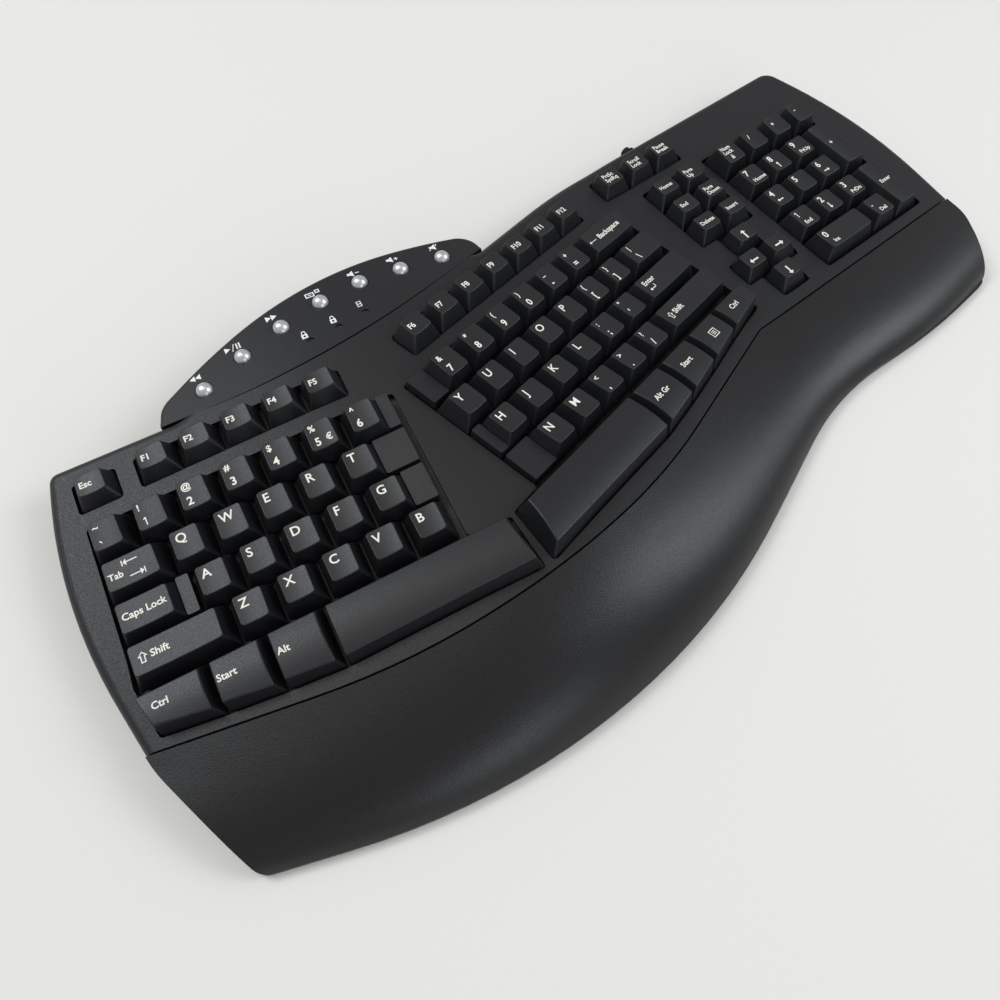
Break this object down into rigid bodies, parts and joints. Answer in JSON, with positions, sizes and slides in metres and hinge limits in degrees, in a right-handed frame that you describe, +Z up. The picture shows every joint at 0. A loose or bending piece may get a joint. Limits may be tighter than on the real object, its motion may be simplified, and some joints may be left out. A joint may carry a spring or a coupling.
{
  "type": "computer keyboard",
  "caption": "Ergonomic split keyboard with two turned letter blocks on a ridged deck, palm rest, numpad and domed media buttons.",
  "frame": {"origin": "on the desk under the middle of the keyboard's outline", "axes": "+X to the user's right along the long side, +Y away from the user, +Z up"},
  "size_m": [0.4988, 0.2427, 0.0455],
  "materials": {
    "deck_plastic": "fine even grain, matte black",
    "palm_plastic": "smooth charcoal with a soft sheen",
    "key_plastic": "satin black with printed off-white legends",
    "case_plastic": "matte black",
    "frame_plastic": "plain black",
    "button_silver": "satin silver coat on a domed button",
    "lens": "dark smoked lens",
    "dome_rubber": "translucent grey silicone",
    "membrane_film": "clear film with printed tracks",
    "board": "green circuit board",
    "soft_rubber": "soft matte black",
    "screw_steel": "zinc plated"
  },
  "bodies": {
    "casing": {"bottom_case": "case_plastic", "top_case": "deck_plastic", "palm_rest": "palm_plastic", "media_panel": "deck_plastic", "key_frame_left": "frame_plastic", "key_frame_right": "frame_plastic", "key_frame_numpad": "frame_plastic", "dome_sheet_left": "dome_rubber", "dome_sheet_right": "dome_rubber", "dome_sheet_numpad": "dome_rubber", "contact_membrane": "membrane_film", "controller_board": "board", "media_switch_board": "board", "indicator_lenses": "lens", "cable_gland": "soft_rubber", "case_screws": "screw_steel", "rubber_feet": "soft_rubber"},
    "key_esc": {"key_esc": "key_plastic"},
    "keys_f1_f5": {"keys_f1_f5": "key_plastic"},
    "keys_number_left": {"keys_number_left": "key_plastic"},
    "key_tab": {"key_tab": "key_plastic"},
    "keys_qwert": {"keys_qwert": "key_plastic"},
    "key_caps_lock": {"key_caps_lock": "key_plastic"},
    "keys_asdfg": {"keys_asdfg": "key_plastic"},
    "key_shift_left": {"key_shift_left": "key_plastic"},
    "keys_zxcvb": {"keys_zxcvb": "key_plastic"},
    "key_ctrl_left": {"key_ctrl_left": "key_plastic"},
    "key_start_left": {"key_start_left": "key_plastic"},
    "key_alt_left": {"key_alt_left": "key_plastic"},
    "space_bar_left": {"space_bar_left": "key_plastic"},
    "keys_f6_f12": {"keys_f6_f12": "key_plastic"},
    "keys_number_right": {"keys_number_right": "key_plastic"},
    "key_backspace": {"key_backspace": "key_plastic"},
    "keys_yuiop": {"keys_yuiop": "key_plastic"},
    "keys_hjkl": {"keys_hjkl": "key_plastic"},
    "key_enter": {"key_enter": "key_plastic"},
    "keys_nm": {"keys_nm": "key_plastic"},
    "key_shift_right": {"key_shift_right": "key_plastic"},
    "space_bar_right": {"space_bar_right": "key_plastic"},
    "key_alt_gr": {"key_alt_gr": "key_plastic"},
    "key_start_right": {"key_start_right": "key_plastic"},
    "key_menu": {"key_menu": "key_plastic"},
    "key_ctrl_right": {"key_ctrl_right": "key_plastic"},
    "keys_system": {"keys_system": "key_plastic"},
    "keys_navigation": {"keys_navigation": "key_plastic"},
    "keys_arrows": {"keys_arrows": "key_plastic"},
    "keys_numpad_operators": {"keys_numpad_operators": "key_plastic"},
    "keys_numpad_digits": {"keys_numpad_digits": "key_plastic"},
    "key_numpad_plus": {"key_numpad_plus": "key_plastic"},
    "key_numpad_enter": {"key_numpad_enter": "key_plastic"},
    "key_numpad_zero": {"key_numpad_zero": "key_plastic"},
    "media_button_previous": {"media_button_previous": "button_silver"},
    "media_button_play": {"media_button_play": "button_silver"},
    "media_button_next": {"media_button_next": "button_silver"},
    "media_button_window": {"media_button_window": "button_silver"},
    "media_button_volume_down": {"media_button_volume_down": "button_silver"},
    "media_button_volume_up": {"media_button_volume_up": "button_silver"},
    "media_button_mute": {"media_button_mute": "button_silver"},
    "flip_foot_left": {"flip_foot_left": "case_plastic"},
    "flip_foot_right": {"flip_foot_right": "case_plastic"}
  },
  "joints": [
    {"name": "key_esc_press", "type": "slide", "parent": "casing", "child": "key_esc", "axis": [-0.1154, -0.0111, 0.9933], "range_m": [-0.003, 0], "stiffness_N_per_m": 120, "springref_m": 0.001, "deforming": ["dome_sheet_left"]},
    {"name": "keys_f1_f5_press", "type": "slide", "parent": "casing", "child": "keys_f1_f5", "axis": [-0.1154, -0.0111, 0.9933], "range_m": [-0.003, 0], "stiffness_N_per_m": 600, "springref_m": 0.001, "deforming": ["dome_sheet_left"]},
    {"name": "keys_number_left_press", "type": "slide", "parent": "casing", "child": "keys_number_left", "axis": [-0.1154, -0.0111, 0.9933], "range_m": [-0.003, 0], "stiffness_N_per_m": 840, "springref_m": 0.001, "deforming": ["dome_sheet_left"]},
    {"name": "key_tab_press", "type": "slide", "parent": "casing", "child": "key_tab", "axis": [-0.1154, -0.0111, 0.9933], "range_m": [-0.003, 0], "stiffness_N_per_m": 120, "springref_m": 0.001, "deforming": ["dome_sheet_left"]},
    {"name": "keys_qwert_press", "type": "slide", "parent": "casing", "child": "keys_qwert", "axis": [-0.1154, -0.0111, 0.9933], "range_m": [-0.003, 0], "stiffness_N_per_m": 600, "springref_m": 0.001, "deforming": ["dome_sheet_left"]},
    {"name": "key_caps_lock_press", "type": "slide", "parent": "casing", "child": "key_caps_lock", "axis": [-0.1154, -0.0111, 0.9933], "range_m": [-0.003, 0], "stiffness_N_per_m": 120, "springref_m": 0.001, "deforming": ["dome_sheet_left"]},
    {"name": "keys_asdfg_press", "type": "slide", "parent": "casing", "child": "keys_asdfg", "axis": [-0.1154, -0.0111, 0.9933], "range_m": [-0.003, 0], "stiffness_N_per_m": 600, "springref_m": 0.001, "deforming": ["dome_sheet_left"]},
    {"name": "key_shift_left_press", "type": "slide", "parent": "casing", "child": "key_shift_left", "axis": [-0.1154, -0.0111, 0.9933], "range_m": [-0.003, 0], "stiffness_N_per_m": 120, "springref_m": 0.001, "deforming": ["dome_sheet_left"]},
    {"name": "keys_zxcvb_press", "type": "slide", "parent": "casing", "child": "keys_zxcvb", "axis": [-0.1154, -0.0111, 0.9933], "range_m": [-0.003, 0], "stiffness_N_per_m": 600, "springref_m": 0.001, "deforming": ["dome_sheet_left"]},
    {"name": "key_ctrl_left_press", "type": "slide", "parent": "casing", "child": "key_ctrl_left", "axis": [-0.1154, -0.0111, 0.9933], "range_m": [-0.003, 0], "stiffness_N_per_m": 120, "springref_m": 0.001, "deforming": ["dome_sheet_left"]},
    {"name": "key_start_left_press", "type": "slide", "parent": "casing", "child": "key_start_left", "axis": [-0.1154, -0.0111, 0.9933], "range_m": [-0.003, 0], "stiffness_N_per_m": 120, "springref_m": 0.001, "deforming": ["dome_sheet_left"]},
    {"name": "key_alt_left_press", "type": "slide", "parent": "casing", "child": "key_alt_left", "axis": [-0.1154, -0.0111, 0.9933], "range_m": [-0.003, 0], "stiffness_N_per_m": 120, "springref_m": 0.001, "deforming": ["dome_sheet_left"]},
    {"name": "space_bar_left_press", "type": "slide", "parent": "casing", "child": "space_bar_left", "axis": [-0.1154, -0.0111, 0.9933], "range_m": [-0.003, 0], "stiffness_N_per_m": 120, "springref_m": 0.001, "deforming": ["dome_sheet_left"]},
    {"name": "keys_f6_f12_press", "type": "slide", "parent": "casing", "child": "keys_f6_f12", "axis": [0.1154, -0.0111, 0.9933], "range_m": [-0.003, 0], "stiffness_N_per_m": 840, "springref_m": 0.001, "deforming": ["dome_sheet_right"]},
    {"name": "keys_number_right_press", "type": "slide", "parent": "casing", "child": "keys_number_right", "axis": [0.1154, -0.0111, 0.9933], "range_m": [-0.003, 0], "stiffness_N_per_m": 720, "springref_m": 0.001, "deforming": ["dome_sheet_right"]},
    {"name": "key_backspace_press", "type": "slide", "parent": "casing", "child": "key_backspace", "axis": [0.1154, -0.0111, 0.9933], "range_m": [-0.003, 0], "stiffness_N_per_m": 120, "springref_m": 0.001, "deforming": ["dome_sheet_right"]},
    {"name": "keys_yuiop_press", "type": "slide", "parent": "casing", "child": "keys_yuiop", "axis": [0.1154, -0.0111, 0.9933], "range_m": [-0.003, 0], "stiffness_N_per_m": 960, "springref_m": 0.001, "deforming": ["dome_sheet_right"]},
    {"name": "keys_hjkl_press", "type": "slide", "parent": "casing", "child": "keys_hjkl", "axis": [0.1154, -0.0111, 0.9933], "range_m": [-0.003, 0], "stiffness_N_per_m": 720, "springref_m": 0.001, "deforming": ["dome_sheet_right"]},
    {"name": "key_enter_press", "type": "slide", "parent": "casing", "child": "key_enter", "axis": [0.1154, -0.0111, 0.9933], "range_m": [-0.003, 0], "stiffness_N_per_m": 120, "springref_m": 0.001, "deforming": ["dome_sheet_right"]},
    {"name": "keys_nm_press", "type": "slide", "parent": "casing", "child": "keys_nm", "axis": [0.1154, -0.0111, 0.9933], "range_m": [-0.003, 0], "stiffness_N_per_m": 600, "springref_m": 0.001, "deforming": ["dome_sheet_right"]},
    {"name": "key_shift_right_press", "type": "slide", "parent": "casing", "child": "key_shift_right", "axis": [0.1154, -0.0111, 0.9933], "range_m": [-0.003, 0], "stiffness_N_per_m": 120, "springref_m": 0.001, "deforming": ["dome_sheet_right"]},
    {"name": "space_bar_right_press", "type": "slide", "parent": "casing", "child": "space_bar_right", "axis": [0.1154, -0.0111, 0.9933], "range_m": [-0.003, 0], "stiffness_N_per_m": 120, "springref_m": 0.001, "deforming": ["dome_sheet_right"]},
    {"name": "key_alt_gr_press", "type": "slide", "parent": "casing", "child": "key_alt_gr", "axis": [0.1154, -0.0111, 0.9933], "range_m": [-0.003, 0], "stiffness_N_per_m": 120, "springref_m": 0.001, "deforming": ["dome_sheet_right"]},
    {"name": "key_start_right_press", "type": "slide", "parent": "casing", "child": "key_start_right", "axis": [0.1154, -0.0111, 0.9933], "range_m": [-0.003, 0], "stiffness_N_per_m": 120, "springref_m": 0.001, "deforming": ["dome_sheet_right"]},
    {"name": "key_menu_press", "type": "slide", "parent": "casing", "child": "key_menu", "axis": [0.1154, -0.0111, 0.9933], "range_m": [-0.003, 0], "stiffness_N_per_m": 120, "springref_m": 0.001, "deforming": ["dome_sheet_right"]},
    {"name": "key_ctrl_right_press", "type": "slide", "parent": "casing", "child": "key_ctrl_right", "axis": [0.1154, -0.0111, 0.9933], "range_m": [-0.003, 0], "stiffness_N_per_m": 120, "springref_m": 0.001, "deforming": ["dome_sheet_right"]},
    {"name": "keys_system_press", "type": "slide", "parent": "casing", "child": "keys_system", "axis": [-0.0115, -0.0235, 0.9997], "range_m": [-0.003, 0], "stiffness_N_per_m": 360, "springref_m": 0.001, "deforming": ["dome_sheet_numpad"]},
    {"name": "keys_navigation_press", "type": "slide", "parent": "casing", "child": "keys_navigation", "axis": [-0.0115, -0.0235, 0.9997], "range_m": [-0.003, 0], "stiffness_N_per_m": 720, "springref_m": 0.001, "deforming": ["dome_sheet_numpad"]},
    {"name": "keys_arrows_press", "type": "slide", "parent": "casing", "child": "keys_arrows", "axis": [-0.0115, -0.0235, 0.9997], "range_m": [-0.003, 0], "stiffness_N_per_m": 480, "springref_m": 0.001, "deforming": ["dome_sheet_numpad"]},
    {"name": "keys_numpad_operators_press", "type": "slide", "parent": "casing", "child": "keys_numpad_operators", "axis": [-0.0115, -0.0235, 0.9997], "range_m": [-0.003, 0], "stiffness_N_per_m": 480, "springref_m": 0.001, "deforming": ["dome_sheet_numpad"]},
    {"name": "keys_numpad_digits_press", "type": "slide", "parent": "casing", "child": "keys_numpad_digits", "axis": [-0.0115, -0.0235, 0.9997], "range_m": [-0.003, 0], "stiffness_N_per_m": 1200, "springref_m": 0.001, "deforming": ["dome_sheet_numpad"]},
    {"name": "key_numpad_plus_press", "type": "slide", "parent": "casing", "child": "key_numpad_plus", "axis": [-0.0115, -0.0235, 0.9997], "range_m": [-0.003, 0], "stiffness_N_per_m": 120, "springref_m": 0.001, "deforming": ["dome_sheet_numpad"]},
    {"name": "key_numpad_enter_press", "type": "slide", "parent": "casing", "child": "key_numpad_enter", "axis": [-0.0115, -0.0235, 0.9997], "range_m": [-0.003, 0], "stiffness_N_per_m": 120, "springref_m": 0.001, "deforming": ["dome_sheet_numpad"]},
    {"name": "key_numpad_zero_press", "type": "slide", "parent": "casing", "child": "key_numpad_zero", "axis": [-0.0115, -0.0235, 0.9997], "range_m": [-0.003, 0], "stiffness_N_per_m": 120, "springref_m": 0.001, "deforming": ["dome_sheet_numpad"]},
    {"name": "media_button_previous_press", "type": "slide", "parent": "casing", "child": "media_button_previous", "axis": [-0.115, 0.0866, 0.9896], "range_m": [-0.0012, 0], "stiffness_N_per_m": 300, "springref_m": 0.0005},
    {"name": "media_button_play_press", "type": "slide", "parent": "casing", "child": "media_button_play", "axis": [-0.115, 0.0866, 0.9896], "range_m": [-0.0012, 0], "stiffness_N_per_m": 300, "springref_m": 0.0005},
    {"name": "media_button_next_press", "type": "slide", "parent": "casing", "child": "media_button_next", "axis": [-0.0598, 0.087, 0.9944], "range_m": [-0.0012, 0], "stiffness_N_per_m": 300, "springref_m": 0.0005},
    {"name": "media_button_window_press", "type": "slide", "parent": "casing", "child": "media_button_window", "axis": [-0.0005, 0.0872, 0.9962], "range_m": [-0.0012, 0], "stiffness_N_per_m": 300, "springref_m": 0.0005},
    {"name": "media_button_volume_down_press", "type": "slide", "parent": "casing", "child": "media_button_volume_down", "axis": [0.0569, 0.087, 0.9946], "range_m": [-0.0012, 0], "stiffness_N_per_m": 300, "springref_m": 0.0005},
    {"name": "media_button_volume_up_press", "type": "slide", "parent": "casing", "child": "media_button_volume_up", "axis": [0.1135, 0.0866, 0.9898], "range_m": [-0.0012, 0], "stiffness_N_per_m": 300, "springref_m": 0.0005},
    {"name": "media_button_mute_press", "type": "slide", "parent": "casing", "child": "media_button_mute", "axis": [0.115, 0.0866, 0.9896], "range_m": [-0.0012, 0], "stiffness_N_per_m": 300, "springref_m": 0.0005},
    {"name": "flip_foot_left_hinge", "type": "hinge", "parent": "casing", "child": "flip_foot_left", "pos_m": [-0.17155, 0.07197, 0.0042], "axis": [1, 0, 0], "range_deg": [0, 80]},
    {"name": "flip_foot_right_hinge", "type": "hinge", "parent": "casing", "child": "flip_foot_right", "pos_m": [0.19349, 0.10186, 0.0042], "axis": [1, 0, 0], "range_deg": [0, 80]}
  ]
}
